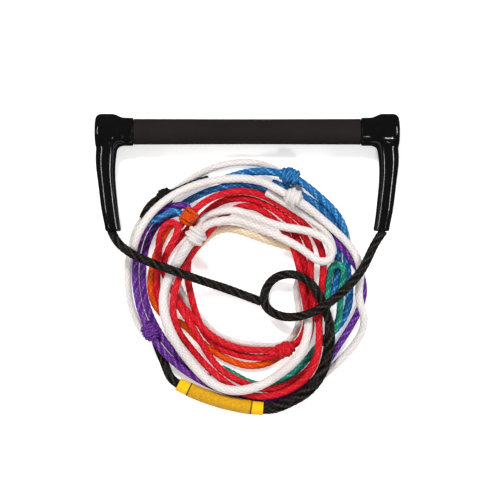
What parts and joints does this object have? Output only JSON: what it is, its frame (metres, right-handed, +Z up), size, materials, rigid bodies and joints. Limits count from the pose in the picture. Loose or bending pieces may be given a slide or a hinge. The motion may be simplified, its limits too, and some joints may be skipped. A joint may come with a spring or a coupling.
{
  "type": "tow rope handle",
  "caption": "Water-ski tow rope handle: rubber-gripped bar with two moulded elbow caps, braided bridle, label sleeve and a coiled mainline of coloured sections ending in a boat loop.",
  "frame": {"origin": "middle of the grip bar, on its axis", "axes": "+X along the bar towards the right cap, +Y away from the rope, +Z up with the handle and the coil lying flat"},
  "size_m": [0.33, 0.3279, 0.0474],
  "materials": {
    "bar_tube": "drawn and anodised",
    "grip": "fine moulded texture, matt",
    "cap": "high gloss moulding",
    "bushing": "natural nylon",
    "foam": "closed-cell foam",
    "black_rope": "braided polyethylene, slight sheen",
    "white_rope": "braided polyethylene, slight sheen",
    "red_rope": "braided polyethylene, slight sheen",
    "orange_rope": "braided polyethylene, slight sheen",
    "yellow_rope": "braided polyethylene, slight sheen",
    "green_rope": "braided polyethylene, slight sheen",
    "blue_rope": "braided polyethylene, slight sheen",
    "purple_rope": "braided polyethylene, slight sheen",
    "sleeve": "soft vinyl tube",
    "label": "printed film with a plain mottled pattern"
  },
  "bodies": {
    "coil": {"handle_line": "black_rope", "handle_splice": "black_rope", "knot_tail": "black_rope", "knot_wrap": "black_rope", "yellow_section": "yellow_rope", "white_inner_section": "white_rope", "white_outer_section": "white_rope", "orange_section": "orange_rope", "orange_hitch": "orange_rope", "blue_return": "blue_rope", "blue_section": "blue_rope", "blue_inner_section": "blue_rope", "blue_eye": "blue_rope", "blue_hitch": "blue_rope", "purple_return": "purple_rope", "purple_section": "purple_rope", "purple_hitch": "purple_rope", "green_section": "green_rope", "red_section": "red_rope", "red_return": "red_rope", "red_inner_section": "red_rope", "red_lower_section": "red_rope", "red_eye": "red_rope", "red_hitch": "red_rope", "white_return": "white_rope", "white_upper_section": "white_rope", "white_main_section": "white_rope", "white_upper_hitch": "white_rope", "white_main_hitch": "white_rope"},
    "bridle": {"left_bridle_leg": "black_rope", "right_bridle_leg": "black_rope"},
    "handle": {"handle_tube": "bar_tube", "grip_sleeve": "grip", "left_end_cap": "cap", "right_end_cap": "cap", "left_bushing": "bushing", "right_bushing": "bushing", "flotation_foam": "foam", "bridle_rope_core": "black_rope"},
    "label": {"label_sleeve": "sleeve", "label_wrap": "label"},
    "loop": {"boat_loop": "white_rope"}
  },
  "joints": [
    {"name": "bridle_lift", "type": "hinge", "parent": "coil", "child": "bridle", "pos_m": [0.0882, -0.206, 0.0143], "axis": [1, 0, 0], "range_deg": [0, 75]},
    {"name": "handle_fold", "type": "hinge", "parent": "bridle", "child": "handle", "pos_m": [0, -0.1085, 0.0098], "axis": [1, 0, 0], "range_deg": [0, 120]},
    {"name": "sleeve_slide", "type": "hinge", "parent": "coil", "child": "label", "pos_m": [0.0365, -0.06199, -0.0069], "axis": [0, 0, 1], "range_deg": [-1.1, 1.1]},
    {"name": "loop_lift", "type": "hinge", "parent": "coil", "child": "loop", "pos_m": [-0.04187, -0.09055, -0.004], "axis": [-0.2571, -0.9664, 0], "range_deg": [0, 80]}
  ]
}
